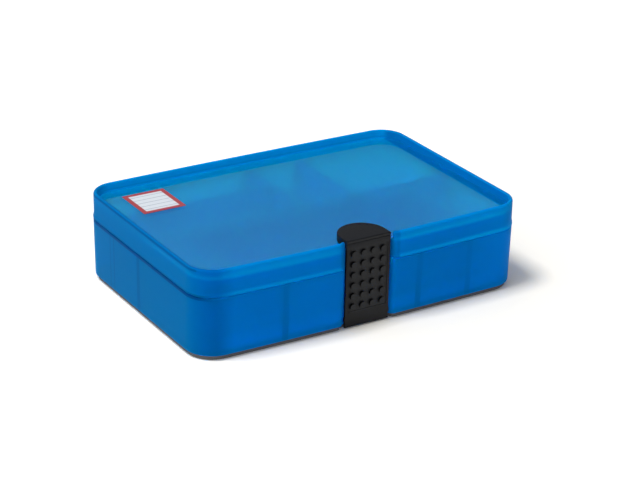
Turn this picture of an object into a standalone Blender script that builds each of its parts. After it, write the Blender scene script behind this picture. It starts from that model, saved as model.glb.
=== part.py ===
"""Storage box for building blocks: a hinged translucent case with a black latch and loose dividers.

The case stands on its foot with the front towards -Y and the lid closed. Each plan outline of the
tray, the lid and the foot is the same rounded rectangle, offset inwards: its front and back walls
are bowed, and a shallow flat recess in the middle of the front takes the latch.
"""
import math

import bmesh
import bpy
from mathutils import Matrix, Vector

# Case, in plan and height
CASE_LENGTH = 0.3210
CASE_DEPTH = 0.2119
CASE_HEIGHT = 0.0810
FOOT_HEIGHT = 0.0042
LID_CORNER_RADIUS = 0.0240
TRAY_CORNER_RADIUS = 0.0250
FRONT_CROWN_TOP = 0.00415
FRONT_CROWN_BOTTOM = 0.00225
BACK_CROWN = 0.0014
SMALLEST_RADIUS = 0.0003

# Latch recess in the front wall
RECESS_SIDE_GAP = 0.00100
RECESS_STRAP_GAP = 0.00025
RECESS_SHOULDER_RADIUS = 0.0046
RECESS_ROOT_RADIUS = 0.0009

# Lid
LID_DEPTH = 0.0238
PANEL_DEPTH = 0.0075
PANEL_THICKNESS = 0.0022
RIM_WIDTH = 0.00356
RIM_OUTER_RADIUS = 0.0021
RIM_INNER_RADIUS = 0.0013
PANEL_EDGE_FILLET = 0.0010
SKIRT_THICKNESS = 0.0022
SKIRT_TAPER = 0.00064
LIP_HEIGHT = 0.0048
LIP_EDGE_RADIUS = 0.0004
LID_INNER_FILLET = 0.0010
NOTCH_SILL = 0.0003

# Tray
WALL_THICKNESS = 0.0024
WALL_DRAFT = 0.0004
WALL_STEP = 0.0002
NECK_THICKNESS = 0.0020
NECK_DRAFT = 0.0003
FLOOR_THICKNESS = 0.0026
FLOOR_FILLET = 0.0020
BOTTOM_EDGE_RADIUS = 0.0006
LID_CLEARANCE = 0.0007
SHOULDER_GAP = 0.0005
SHOULDER_SLOPE_HEIGHT = 0.0034

# Foot ring
FOOT_INSET = 0.00243
FOOT_WIDTH = 0.0060
FOOT_EDGE_RADIUS = 0.0005
TONGUE_INSET = 0.0020
TONGUE_WIDTH = 0.0020
TONGUE_HEIGHT = 0.0010

# Dividers and the slots that hold them
SLOT_PITCH = 0.0262
DIVIDER_THICKNESS = 0.0018
DIVIDER_DROP = 0.0015
DIVIDER_CHAMFER = 0.0030
SLOT_DEPTH = 0.0020
SLOT_CLEARANCE = 0.0003
RIB_THICKNESS = 0.0016
RIB_TOP_DROP = 0.0012
KEEPER_RIB_DEPTH = 0.0018

# Latch head
HEAD_HALF_WIDTH = 0.02175
HEAD_REACH = 0.0314
HEAD_SETDOWN = 0.0002
HEAD_TOP_THICKNESS = 0.0024
HEAD_WALL_THICKNESS = 0.0020
HEAD_EDGE_RADIUS = 0.0008
PEG_SPACING = 0.0220
PEG_SETBACK = 0.0130
PEG_RADIUS = 0.0024
PEG_BUTTON_RADIUS = 0.0040
PEG_BUTTON_THICKNESS = 0.0012

# Latch strap
CREASE_DROP = 0.0030
STRAP_THICKNESS = 0.0022
STRAP_BOTTOM = 0.0012
STRAP_EDGE_BEVEL = 0.0004
FIELD_SIDE_BORDER = 0.0025
FIELD_TOP_BORDER = 0.0061
FIELD_BOTTOM_BORDER = 0.0142
FIELD_DEPTH = 0.0003
STUD_PITCH = 0.0096
STUD_RADIUS = 0.0029
STUD_HEIGHT = 0.0018
EAR_RISE = 0.0076
EAR_RADIUS = 0.0017
EAR_REACH = 0.0006

# Rear hinges
HINGE_SPACING = 0.1700
BARREL_RADIUS = 0.0034
PIN_RADIUS = 0.0012
PIN_CLEARANCE = 0.0003
BARREL_WALL_GAP = 0.0004
KNUCKLE_WIDTH = 0.0100
LID_KNUCKLE_WIDTH = 0.0180
ARM_DROP = 0.0090
ARM_EMBED = 0.0014

# Shared gaps
SEAT_GAP = 0.0003
CUT_OVERRUN = 0.0050

# Counts of facets
CORNER_STEPS = 10
CROWN_STEPS = 5
BACK_STEPS = 3
SHOULDER_STEPS = 4
ROOT_STEPS = 2
BARREL_STEPS = 24
PEG_STEPS = 16
STUD_STEPS = 14
EDGE_STEPS = 3
CREST_STEPS = 4

# Heights and planes that several pieces share
SKIRT_EDGE_HEIGHT = CASE_HEIGHT - LID_DEPTH
PANEL_TOP = CASE_HEIGHT - PANEL_DEPTH
PANEL_UNDERSIDE = PANEL_TOP - PANEL_THICKNESS
FLOOR_TOP = FOOT_HEIGHT + FLOOR_THICKNESS
SHOULDER_HEIGHT = SKIRT_EDGE_HEIGHT - SHOULDER_GAP
NECK_TOP = PANEL_UNDERSIDE - SEAT_GAP
NECK_SKIN = SKIRT_TAPER + SKIRT_THICKNESS + LID_CLEARANCE
DIVIDER_BOTTOM = FLOOR_TOP + SEAT_GAP
DIVIDER_TOP = NECK_TOP - DIVIDER_DROP
RIB_TOP = DIVIDER_TOP - RIB_TOP_DROP
SLOT_WIDTH = DIVIDER_THICKNESS + 2 * SLOT_CLEARANCE
LATCH_PLANE = -CASE_DEPTH / 2
STRAP_BACK = LATCH_PLANE + STRAP_THICKNESS
RECESS_PLANE = STRAP_BACK + RECESS_STRAP_GAP
RECESS_HALF_WIDTH = HEAD_HALF_WIDTH + RECESS_SIDE_GAP
RECESS_END = RECESS_HALF_WIDTH + RECESS_SHOULDER_RADIUS + RECESS_ROOT_RADIUS
STRAP_TOP = CASE_HEIGHT - CREASE_DROP
FIELD_TOP = STRAP_TOP - FIELD_TOP_BORDER
FIELD_BOTTOM = STRAP_BOTTOM + FIELD_BOTTOM_BORDER
FIELD_HALF_WIDTH = HEAD_HALF_WIDTH - FIELD_SIDE_BORDER
EAR_HEIGHT = STRAP_BOTTOM + EAR_RISE

# Rear hinge axis: behind the lid's lip where the back wall bows furthest within a knuckle
HINGE_HEIGHT = SKIRT_EDGE_HEIGHT
HINGE_REACH = CASE_DEPTH / 2 + BACK_CROWN + BARREL_WALL_GAP + BARREL_RADIUS

# The case is moved along Y so that its whole depth, hinges included, is centred on the origin
FRONT_REACH = CASE_DEPTH / 2 + FRONT_CROWN_TOP * (1 - (RECESS_END / (CASE_LENGTH / 2)) ** 2)
BACK_REACH = HINGE_REACH + BARREL_RADIUS
CASE_SHIFT = (FRONT_REACH - BACK_REACH) / 2

# Grid lines, counted in slot pitches from the middle, where the dividers stand
CROSS_COLUMN = 2
BACK_MIDDLE_COLUMN = 0
FRONT_LEFT_COLUMN = -3
FRONT_RIGHT_COLUMN = 4
BACK_LEFT_ROW = 2

BLUE = (0.010, 0.150, 0.520)
DIVIDER_BLUE = (0.030, 0.210, 0.560)
BLACK = (0.022, 0.022, 0.024)
DARK_GREY = (0.060, 0.062, 0.070)
STEEL = (0.55, 0.56, 0.58)


def clear_scene():
    """Removes every object, so that the file can be run again."""
    for item in list(bpy.data.objects):
        bpy.data.objects.remove(item, do_unlink=True)


def make_collection(name):
    """Returns a new collection linked to the scene."""
    collection = bpy.data.collections.new(name)
    bpy.context.scene.collection.children.link(collection)
    return collection


def make_material(name, colour, roughness, metallic, transmission):
    """Returns a Principled material."""
    material = bpy.data.materials.new(name)
    material.use_nodes = True
    shader = material.node_tree.nodes["Principled BSDF"]
    shader.inputs["Base Color"].default_value = (*colour, 1.0)
    shader.inputs["Roughness"].default_value = roughness
    shader.inputs["Metallic"].default_value = metallic
    shader.inputs["Transmission Weight"].default_value = transmission
    material.diffuse_color = (*colour, 1.0)
    return material


def arc(centre, radius, start, end, steps):
    """Points of an arc, angles in degrees, both ends included."""
    turn = (end - start) / steps
    angles = [math.radians(start + turn * step) for step in range(steps + 1)]
    return [(centre[0] + radius * math.cos(a), centre[1] + radius * math.sin(a)) for a in angles]


def crown_at(x, half_length, crown):
    """How far a bowed wall stands out at x."""
    return crown * (1 - (x / half_length) ** 2)


def recess_half(front, floor):
    """Points of the latch recess from its middle to the front wall, for positive x."""
    shoulder, root = front[1], floor[1]
    rise = floor[0] - front[0]
    turn = math.acos(max(0.0, 1 - rise / (shoulder + root)))
    start = RECESS_HALF_WIDTH
    end = start + (shoulder + root) * math.sin(turn)
    degrees = math.degrees(turn)
    points = [(0.0, floor[0])]
    points += arc((start, floor[0] - root), root, 90, 90 - degrees, ROOT_STEPS)
    points += arc((end, front[0] + shoulder), shoulder, 270 - degrees, 270, SHOULDER_STEPS)
    return points


def outline(taper, skin, corner, crown):
    """Plan outline of the case, taper and skin inwards of its widest line."""
    half_length = CASE_LENGTH / 2 - taper - skin
    half_depth = CASE_DEPTH / 2 - taper - skin
    radius = max(corner - taper - skin, SMALLEST_RADIUS)
    front_line = -half_depth - crown_at(RECESS_END, half_length, crown)
    front = (front_line, max(RECESS_SHOULDER_RADIUS - skin, SMALLEST_RADIUS))
    floor = (RECESS_PLANE + skin, RECESS_ROOT_RADIUS + skin)
    half = recess_half(front, floor)

    first_x = half[-1][0]
    last_x = half_length - radius
    for step in range(1, CROWN_STEPS):
        x = first_x + (last_x - first_x) * step / CROWN_STEPS
        half.append((x, -half_depth - crown_at(x, half_length, crown)))
    for x, y in arc((last_x, -half_depth + radius), radius, -90, 0, CORNER_STEPS):
        half.append((x, y - crown_at(x, half_length, crown)))
    for x, y in arc((last_x, half_depth - radius), radius, 0, 90, CORNER_STEPS):
        half.append((x, y + crown_at(x, half_length, BACK_CROWN)))
    for step in range(1, BACK_STEPS):
        x = last_x * (1 - step / BACK_STEPS)
        half.append((x, half_depth + crown_at(x, half_length, BACK_CROWN)))
    half.append((0.0, half_depth + BACK_CROWN))
    mirrored = [(-x, y) for x, y in reversed(half[1:-1])]
    return half + mirrored


def lid_ring(taper, skin, height):
    """One level of the lid, whose walls are upright."""
    points = outline(taper, skin, LID_CORNER_RADIUS, FRONT_CROWN_TOP)
    return [(x, y, height) for x, y in points]


def tray_ring(skin, height, extra=0.0):
    """One level of the tray, whose outline narrows and flattens towards the bottom."""
    share = (SHOULDER_HEIGHT - height) / (SHOULDER_HEIGHT - FOOT_HEIGHT)
    share = min(max(share, 0.0), 1.0)
    taper = WALL_STEP + WALL_DRAFT * share + extra
    corner = LID_CORNER_RADIUS + (TRAY_CORNER_RADIUS - LID_CORNER_RADIUS) * share
    crown = FRONT_CROWN_TOP + (FRONT_CROWN_BOTTOM - FRONT_CROWN_TOP) * share
    points = outline(taper, skin, corner, crown)
    return [(x, y, height) for x, y in points]


def loft(bm, rings, closed=False):
    """Joins rings of equally many points by side faces, with a cap at each end or a closed loop."""
    loops = [[bm.verts.new(point) for point in ring] for ring in rings]
    count = len(loops[0])
    pairs = list(zip(loops, loops[1:]))
    if closed:
        pairs.append((loops[-1], loops[0]))
    for lower, upper in pairs:
        for i in range(count):
            j = (i + 1) % count
            bm.faces.new((lower[i], lower[j], upper[j], upper[i]))
    if not closed:
        bm.faces.new(loops[0][::-1])
        bm.faces.new(loops[-1])
    bmesh.ops.recalc_face_normals(bm, faces=bm.faces)


def prism(bm, profile, frame, depth):
    """Extrudes a closed profile by depth along the third axis of a frame, centred on it."""
    half = Vector((0.0, 0.0, depth / 2))
    first = [bm.verts.new(frame @ (Vector((u, v, 0.0)) - half)) for u, v in profile]
    second = [bm.verts.new(frame @ (Vector((u, v, 0.0)) + half)) for u, v in profile]
    faces = [bm.faces.new(first[::-1]), bm.faces.new(second)]
    for i in range(len(profile)):
        j = (i + 1) % len(profile)
        faces.append(bm.faces.new((first[i], first[j], second[j], second[i])))
    bmesh.ops.recalc_face_normals(bm, faces=faces)


def box(bm, low, high):
    """Adds a box between two corners."""
    size = [high[i] - low[i] for i in range(3)]
    middle = [(high[i] + low[i]) / 2 for i in range(3)]
    matrix = Matrix.Translation(middle) @ Matrix.Diagonal((*size, 1.0))
    return bmesh.ops.create_cube(bm, size=1.0, matrix=matrix)["verts"]


def cylinder(bm, centre, axis, radius, length, steps):
    """Adds a cylinder centred on a point, along X, Y or Z."""
    turns = {"X": Matrix.Rotation(math.pi / 2, 4, "Y"), "Y": Matrix.Rotation(math.pi / 2, 4, "X"),
             "Z": Matrix.Identity(4)}
    matrix = Matrix.Translation(centre) @ turns[axis]
    bmesh.ops.create_cone(bm, cap_ends=True, segments=steps, radius1=radius, radius2=radius,
                          depth=length, matrix=matrix)


def finish_mesh(bm, name, collection, material, parent=None, pivot=(0.0, 0.0, 0.0)):
    """Turns a bmesh in case coordinates into a named object whose origin is at its pivot."""
    mesh = bpy.data.meshes.new(name)
    bmesh.ops.translate(bm, verts=bm.verts, vec=-Vector(pivot))
    bm.to_mesh(mesh)
    bm.free()
    mesh.shade_smooth()
    mesh.set_sharp_from_angle(angle=math.radians(35))
    item = bpy.data.objects.new(name, mesh)
    collection.objects.link(item)
    if material is not None:
        mesh.materials.append(material)
    if parent is not None:
        item.parent = parent
        item.location = Vector(pivot) - Vector(parent["pivot"])
    return item


def make_empty(name, collection, pivot, parent=None):
    """Adds an empty that carries the pieces turning about a pivot."""
    empty = bpy.data.objects.new(name, None)
    empty["pivot"] = pivot
    collection.objects.link(empty)
    if parent is None:
        empty.location = Vector(pivot) + Vector((0.0, CASE_SHIFT, 0.0))
    else:
        empty.parent = parent
        empty.location = Vector(pivot) - Vector(parent["pivot"])
    return empty


def make_tool(bm, name, tools, parent):
    """Adds a hidden solid that is joined to a piece or cut from it."""
    tool = finish_mesh(bm, name, tools, None, parent, tuple(parent["pivot"]))
    tool.hide_render = True
    tool.display_type = "WIRE"
    return tool


def combine(target, tool, operation):
    """Joins a tool to a piece, or cuts it away."""
    modifier = target.modifiers.new(tool.name, "BOOLEAN")
    modifier.object = tool
    modifier.operation = operation
    modifier.solver = "EXACT"


def lid_profile():
    """Rings of the lid: under the panel, down the skirt, round its lip, over the rim, on to the panel."""
    inner_top = SKIRT_TAPER + SKIRT_THICKNESS
    inner_edge = SKIRT_THICKNESS
    crest = SKIRT_TAPER + RIM_WIDTH
    rings = []
    # underside of the panel, filleted into the skirt
    for u, v in arc((inner_top + LID_INNER_FILLET, PANEL_UNDERSIDE - LID_INNER_FILLET),
                    LID_INNER_FILLET, 90, 180, EDGE_STEPS):
        rings.append((0.0, u, v))
    rings.append((0.0, inner_edge, SKIRT_EDGE_HEIGHT))
    # lower edge and flared lip; the flare is a taper, so the recess stays flat
    rings.append((LIP_EDGE_RADIUS, 0.0, SKIRT_EDGE_HEIGHT))
    rings.append((0.0, 0.0, SKIRT_EDGE_HEIGHT + LIP_EDGE_RADIUS))
    for step in range(EDGE_STEPS + 1):
        share = step / EDGE_STEPS
        flare = SKIRT_TAPER * math.sin(share * math.pi / 2) ** 2
        height = SKIRT_EDGE_HEIGHT + LIP_HEIGHT * (1 + 2 * share) / 3
        rings.append((flare, 0.0, height))
    # crest of the rim, rounder outside than inside
    for u, v in arc((RIM_OUTER_RADIUS, CASE_HEIGHT - RIM_OUTER_RADIUS), RIM_OUTER_RADIUS,
                    180, 90, CREST_STEPS):
        rings.append((SKIRT_TAPER, u, v))
    for u, v in arc((RIM_WIDTH - RIM_INNER_RADIUS, CASE_HEIGHT - RIM_INNER_RADIUS), RIM_INNER_RADIUS,
                    90, 0, EDGE_STEPS):
        rings.append((SKIRT_TAPER, u, v))
    # fillet from the rim's inner face to the panel
    for u, v in arc((crest + PANEL_EDGE_FILLET, PANEL_TOP + PANEL_EDGE_FILLET), PANEL_EDGE_FILLET,
                    180, 270, EDGE_STEPS):
        rings.append((SKIRT_TAPER, u - SKIRT_TAPER, v))
    return [lid_ring(taper, skin, height) for taper, skin, height in rings]


def tray_profile():
    """Rings of the tray: groove and underside, up the wall, over the neck, down inside to the floor."""
    groove_inner = FOOT_INSET + TONGUE_INSET + TONGUE_WIDTH + SEAT_GAP
    groove_outer = FOOT_INSET + TONGUE_INSET - SEAT_GAP
    groove_top = FOOT_HEIGHT + TONGUE_HEIGHT
    neck_inner = NECK_SKIN + NECK_THICKNESS
    slope_bottom = SHOULDER_HEIGHT - SHOULDER_SLOPE_HEIGHT - WALL_THICKNESS
    slope_top = SHOULDER_HEIGHT - WALL_THICKNESS
    rings = [
        tray_ring(groove_inner, FOOT_HEIGHT),
        tray_ring(groove_inner, groove_top),
        tray_ring(groove_outer, groove_top),
        tray_ring(groove_outer, FOOT_HEIGHT),
        tray_ring(0.0, FOOT_HEIGHT, BOTTOM_EDGE_RADIUS),
        tray_ring(0.0, FOOT_HEIGHT + BOTTOM_EDGE_RADIUS),
        tray_ring(0.0, SHOULDER_HEIGHT - BOTTOM_EDGE_RADIUS),
        tray_ring(BOTTOM_EDGE_RADIUS, SHOULDER_HEIGHT),
        tray_ring(NECK_SKIN, SHOULDER_HEIGHT),
        tray_ring(NECK_SKIN + NECK_DRAFT, NECK_TOP),
        tray_ring(neck_inner, NECK_TOP),
        tray_ring(neck_inner, slope_top),
        tray_ring(WALL_THICKNESS, slope_bottom),
    ]
    for u, v in arc((WALL_THICKNESS + FLOOR_FILLET, FLOOR_TOP + FLOOR_FILLET), FLOOR_FILLET,
                    180, 270, EDGE_STEPS):
        rings.append(tray_ring(u, v))
    return rings


def wall_place(side, along, skin, height):
    """Coordinate, across a wall, of the surface that lies skin inside the tray's outer face."""
    share = min(max((SHOULDER_HEIGHT - height) / (SHOULDER_HEIGHT - FOOT_HEIGHT), 0.0), 1.0)
    inset = WALL_STEP + WALL_DRAFT * share + skin
    if side in ("left", "right"):
        reach = CASE_LENGTH / 2 - inset
    else:
        front_crown = FRONT_CROWN_TOP + (FRONT_CROWN_BOTTOM - FRONT_CROWN_TOP) * share
        crown = front_crown if side == "front" else BACK_CROWN
        reach = CASE_DEPTH / 2 - inset + crown_at(along, CASE_LENGTH / 2 - inset, crown)
    return -reach if side in ("left", "front") else reach


def divider_end(side, along):
    """Where a divider stops, just clear of the tray's neck."""
    inside = wall_place(side, along, NECK_SKIN + NECK_THICKNESS, NECK_TOP)
    return inside + SLOT_CLEARANCE if inside < 0 else inside - SLOT_CLEARANCE


def slot_ribs(bm, side, along):
    """Two upright ribs on a wall, with the slot for a divider's end between them."""
    end = divider_end(side, along)
    inward = 1 if end < 0 else -1
    reach = end + inward * SLOT_DEPTH
    half_wall = WALL_THICKNESS / 2
    half_neck = NECK_SKIN + NECK_DRAFT + (NECK_THICKNESS - NECK_DRAFT) / 2
    slope_bottom = SHOULDER_HEIGHT - SHOULDER_SLOPE_HEIGHT - WALL_THICKNESS
    profile = [
        (reach, FLOOR_TOP - FLOOR_THICKNESS / 2),
        (wall_place(side, along, half_wall, FLOOR_TOP), FLOOR_TOP - FLOOR_THICKNESS / 2),
        (wall_place(side, along, half_wall, slope_bottom), slope_bottom),
        (wall_place(side, along, half_neck, SHOULDER_HEIGHT), SHOULDER_HEIGHT - WALL_THICKNESS),
        (wall_place(side, along, half_neck, SHOULDER_HEIGHT), RIB_TOP),
        (reach, RIB_TOP),
    ]
    for sign in (-1, 1):
        offset = along + sign * (SLOT_WIDTH + RIB_THICKNESS) / 2
        if side in ("left", "right"):
            frame = Matrix(((1, 0, 0, 0), (0, 0, 1, offset), (0, 1, 0, 0), (0, 0, 0, 1)))
        else:
            frame = Matrix(((0, 0, 1, offset), (1, 0, 0, 0), (0, 1, 0, 0), (0, 0, 0, 1)))
        prism(bm, profile, frame, RIB_THICKNESS)


def across_x(x):
    """Frame whose first axis is Y, second Z and third X, at a place along X."""
    return Matrix(((0, 0, 1, x), (1, 0, 0, 0), (0, 1, 0, 0), (0, 0, 0, 1)))


def tray_knuckle_profile():
    """Barrel and gusset of a hinge knuckle that stands on the tray's back wall."""
    wall = CASE_DEPTH / 2 - WALL_STEP - ARM_EMBED
    points = arc((HINGE_REACH, HINGE_HEIGHT), BARREL_RADIUS, -50, 200, BARREL_STEPS - 6)
    points.append((wall, SHOULDER_HEIGHT - SHOULDER_GAP - BOTTOM_EDGE_RADIUS))
    points.append((wall, HINGE_HEIGHT - BARREL_RADIUS - ARM_DROP))
    return points


def lid_knuckle_profile():
    """Barrel and gusset of a hinge knuckle that hangs on the lid's skirt."""
    wall = CASE_DEPTH / 2 - SKIRT_TAPER - ARM_EMBED
    points = arc((HINGE_REACH, HINGE_HEIGHT), BARREL_RADIUS, 50, -190, BARREL_STEPS - 6)
    points.append((wall, SKIRT_EDGE_HEIGHT + LIP_EDGE_RADIUS))
    points.append((wall, HINGE_HEIGHT + BARREL_RADIUS + ARM_DROP))
    return points


def hinge_places():
    """Middle of each rear hinge along X."""
    return (-HINGE_SPACING / 2, HINGE_SPACING / 2)


def tray_knuckles(bm):
    """Two knuckles each side of the lid's knuckle, at both hinges."""
    shift = (LID_KNUCKLE_WIDTH + KNUCKLE_WIDTH) / 2 + SEAT_GAP
    for middle in hinge_places():
        for sign in (-1, 1):
            prism(bm, tray_knuckle_profile(), across_x(middle + sign * shift), KNUCKLE_WIDTH)


def lid_knuckles(bm):
    """The lid's knuckle at both hinges."""
    for middle in hinge_places():
        prism(bm, lid_knuckle_profile(), across_x(middle), LID_KNUCKLE_WIDTH)


def hinge_bores(bm):
    """Bores for the hinge pins, through all the knuckles of each hinge."""
    length = LID_KNUCKLE_WIDTH + 2 * (KNUCKLE_WIDTH + SEAT_GAP) + 2 * CUT_OVERRUN
    for middle in hinge_places():
        centre = (middle, HINGE_REACH, HINGE_HEIGHT)
        cylinder(bm, centre, "X", PIN_RADIUS + PIN_CLEARANCE, length, PEG_STEPS)


def build_tray(parts, tools, parent, material):
    """Tray with its slot ribs and its hinge knuckles."""
    bm = bmesh.new()
    loft(bm, tray_profile())
    tray = finish_mesh(bm, "base_tray", parts, material, parent)

    bm = bmesh.new()
    for column in (BACK_MIDDLE_COLUMN, CROSS_COLUMN):
        slot_ribs(bm, "back", column * SLOT_PITCH)
    for column in (FRONT_LEFT_COLUMN, CROSS_COLUMN, FRONT_RIGHT_COLUMN):
        slot_ribs(bm, "front", column * SLOT_PITCH)
    for side in ("left", "right"):
        slot_ribs(bm, side, 0.0)
    slot_ribs(bm, "left", BACK_LEFT_ROW * SLOT_PITCH)
    combine(tray, make_tool(bm, "tray_slot_ribs", tools, parent), "UNION")

    bm = bmesh.new()
    tray_knuckles(bm)
    combine(tray, make_tool(bm, "tray_hinge_knuckles", tools, parent), "UNION")
    bm = bmesh.new()
    hinge_bores(bm)
    combine(tray, make_tool(bm, "tray_hinge_bores", tools, parent), "DIFFERENCE")


def build_lid(parts, tools, parent, material):
    """Lid with its hinge knuckles, the notch for the latch and the holes for the latch's pegs."""
    bm = bmesh.new()
    loft(bm, lid_profile())
    lid = finish_mesh(bm, "lid", parts, material, parent, tuple(parent["pivot"]))

    bm = bmesh.new()
    lid_knuckles(bm)
    combine(lid, make_tool(bm, "lid_hinge_knuckles", tools, parent), "UNION")
    bm = bmesh.new()
    hinge_bores(bm)
    combine(lid, make_tool(bm, "lid_hinge_bores", tools, parent), "DIFFERENCE")

    bm = bmesh.new()
    notch = HEAD_HALF_WIDTH + SEAT_GAP
    back = RECESS_PLANE + RIM_WIDTH + 2 * PANEL_EDGE_FILLET
    box(bm, (-notch, LATCH_PLANE - CUT_OVERRUN, PANEL_TOP + NOTCH_SILL),
        (notch, back, CASE_HEIGHT + CUT_OVERRUN))
    combine(lid, make_tool(bm, "lid_latch_notch", tools, parent), "DIFFERENCE")
    # the rim stops where the front wall turns into the recess
    bm = bmesh.new()
    pocket = RECESS_END + PANEL_EDGE_FILLET / 2
    inside = SKIRT_TAPER + RIM_WIDTH
    rim_back = -CASE_DEPTH / 2 + inside - crown_at(RECESS_END, CASE_LENGTH / 2 - inside, FRONT_CROWN_TOP)
    box(bm, (-pocket, rim_back + SEAT_GAP, PANEL_TOP + NOTCH_SILL),
        (pocket, back, CASE_HEIGHT + CUT_OVERRUN))
    combine(lid, make_tool(bm, "lid_head_pocket", tools, parent), "DIFFERENCE")
    bm = bmesh.new()
    for sign in (-1, 1):
        centre = (sign * PEG_SPACING / 2, LATCH_PLANE + PEG_SETBACK, PANEL_TOP)
        cylinder(bm, centre, "Z", PEG_RADIUS + SEAT_GAP, 2 * CUT_OVERRUN, PEG_STEPS)
    combine(lid, make_tool(bm, "lid_peg_holes", tools, parent), "DIFFERENCE")


def build_foot(parts, parent, material):
    """Foot ring with a tongue that sits in the groove under the tray."""
    top = FOOT_HEIGHT - SEAT_GAP
    tongue_top = top + TONGUE_HEIGHT
    edge = FOOT_EDGE_RADIUS
    places = [
        (FOOT_INSET + edge, 0.0), (FOOT_INSET, edge), (FOOT_INSET, top),
        (FOOT_INSET + TONGUE_INSET, top), (FOOT_INSET + TONGUE_INSET, tongue_top),
        (FOOT_INSET + TONGUE_INSET + TONGUE_WIDTH, tongue_top),
        (FOOT_INSET + TONGUE_INSET + TONGUE_WIDTH, top), (FOOT_INSET + FOOT_WIDTH, top),
        (FOOT_INSET + FOOT_WIDTH, edge), (FOOT_INSET + FOOT_WIDTH - edge, 0.0),
    ]
    bm = bmesh.new()
    loft(bm, [tray_ring(skin, height) for skin, height in places], closed=True)
    finish_mesh(bm, "foot_ring", parts, material, parent)


def plate_profile(start, end, chamfer_start=True, chamfer_end=True):
    """Side view of a divider, with chamfers that clear the tray's inner fillet."""
    points = []
    if chamfer_start:
        points += [(start, DIVIDER_BOTTOM + DIVIDER_CHAMFER), (start + DIVIDER_CHAMFER, DIVIDER_BOTTOM)]
    else:
        points.append((start, DIVIDER_BOTTOM))
    if chamfer_end:
        points += [(end - DIVIDER_CHAMFER, DIVIDER_BOTTOM), (end, DIVIDER_BOTTOM + DIVIDER_CHAMFER)]
    else:
        points.append((end, DIVIDER_BOTTOM))
    return points + [(end, DIVIDER_TOP), (start, DIVIDER_TOP)]


def notched(profile, middle, from_top):
    """The same side view with the half-lap slot where another divider crosses it."""
    half = SLOT_WIDTH / 2
    waist = (DIVIDER_BOTTOM + DIVIDER_TOP) / 2
    if from_top:
        level = waist - SEAT_GAP / 2
        slot = [(middle + half, DIVIDER_TOP), (middle + half, level), (middle - half, level),
                (middle - half, DIVIDER_TOP)]
        return profile[:-1] + slot + profile[-1:]
    level = waist + SEAT_GAP / 2
    slot = [(middle - half, DIVIDER_BOTTOM), (middle - half, level), (middle + half, level),
            (middle + half, DIVIDER_BOTTOM)]
    return profile[:2] + slot + profile[2:]


def along_x(y):
    """Frame whose first axis is X, second Z and third Y, at a place along Y."""
    return Matrix(((1, 0, 0, 0), (0, 0, 1, y), (0, 1, 0, 0), (0, 0, 0, 1)))


def keeper_ribs(bm, face, along, axis):
    """Two small ribs on a divider's face that hold the end of the divider that meets it there."""
    outward = 1 if face > 0 else -1
    root = face - outward * DIVIDER_THICKNESS / 2
    tip = face + outward * KEEPER_RIB_DEPTH
    for sign in (-1, 1):
        middle = along + sign * (SLOT_WIDTH + RIB_THICKNESS) / 2
        low = [min(root, tip), middle - RIB_THICKNESS / 2, DIVIDER_BOTTOM + DIVIDER_CHAMFER]
        high = [max(root, tip), middle + RIB_THICKNESS / 2, RIB_TOP]
        if axis == "X":
            low[0], low[1] = low[1], low[0]
            high[0], high[1] = high[1], high[0]
        box(bm, low, high)


def build_dividers(parts, tools, parent, material):
    """The long divider, the one that crosses it, and four short ones that end against them."""
    face = DIVIDER_THICKNESS / 2
    cross = CROSS_COLUMN * SLOT_PITCH
    row = BACK_LEFT_ROW * SLOT_PITCH

    bm = bmesh.new()
    profile = plate_profile(divider_end("left", 0.0), divider_end("right", 0.0))
    prism(bm, notched(profile, cross, True), along_x(0.0), DIVIDER_THICKNESS)
    long_divider = finish_mesh(bm, "divider_long", parts, material, parent)
    bm = bmesh.new()
    keeper_ribs(bm, face, BACK_MIDDLE_COLUMN * SLOT_PITCH, "X")
    keeper_ribs(bm, -face, FRONT_LEFT_COLUMN * SLOT_PITCH, "X")
    keeper_ribs(bm, -face, FRONT_RIGHT_COLUMN * SLOT_PITCH, "X")
    combine(long_divider, make_tool(bm, "divider_long_ribs", tools, parent), "UNION")

    bm = bmesh.new()
    profile = plate_profile(divider_end("front", cross), divider_end("back", cross))
    prism(bm, notched(profile, 0.0, False), across_x(cross), DIVIDER_THICKNESS)
    finish_mesh(bm, "divider_cross", parts, material, parent)

    middle = BACK_MIDDLE_COLUMN * SLOT_PITCH
    bm = bmesh.new()
    profile = plate_profile(face + SLOT_CLEARANCE, divider_end("back", middle), False, True)
    prism(bm, profile, across_x(middle), DIVIDER_THICKNESS)
    back_middle = finish_mesh(bm, "divider_back_middle", parts, material, parent)
    bm = bmesh.new()
    keeper_ribs(bm, middle - face, row, "Y")
    combine(back_middle, make_tool(bm, "divider_back_middle_ribs", tools, parent), "UNION")

    bm = bmesh.new()
    profile = plate_profile(divider_end("left", row), middle - face - SLOT_CLEARANCE, True, False)
    prism(bm, profile, along_x(row), DIVIDER_THICKNESS)
    finish_mesh(bm, "divider_back_left", parts, material, parent)

    for name, column in (("divider_front_left", FRONT_LEFT_COLUMN),
                         ("divider_front_right", FRONT_RIGHT_COLUMN)):
        place = column * SLOT_PITCH
        bm = bmesh.new()
        profile = plate_profile(divider_end("front", place), -face - SLOT_CLEARANCE, True, False)
        prism(bm, profile, across_x(place), DIVIDER_THICKNESS)
        finish_mesh(bm, name, parts, material, parent)


def head_outline(inset):
    """Plan of the latch head: straight at the front, a half circle over the panel."""
    half = HEAD_HALF_WIDTH - inset
    front = LATCH_PLANE + inset
    centre = LATCH_PLANE + HEAD_REACH - HEAD_HALF_WIDTH
    points = [(-half, front), (half, front)]
    points += arc((0.0, centre), half, 0, 180, 2 * CORNER_STEPS)
    return points


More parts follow.
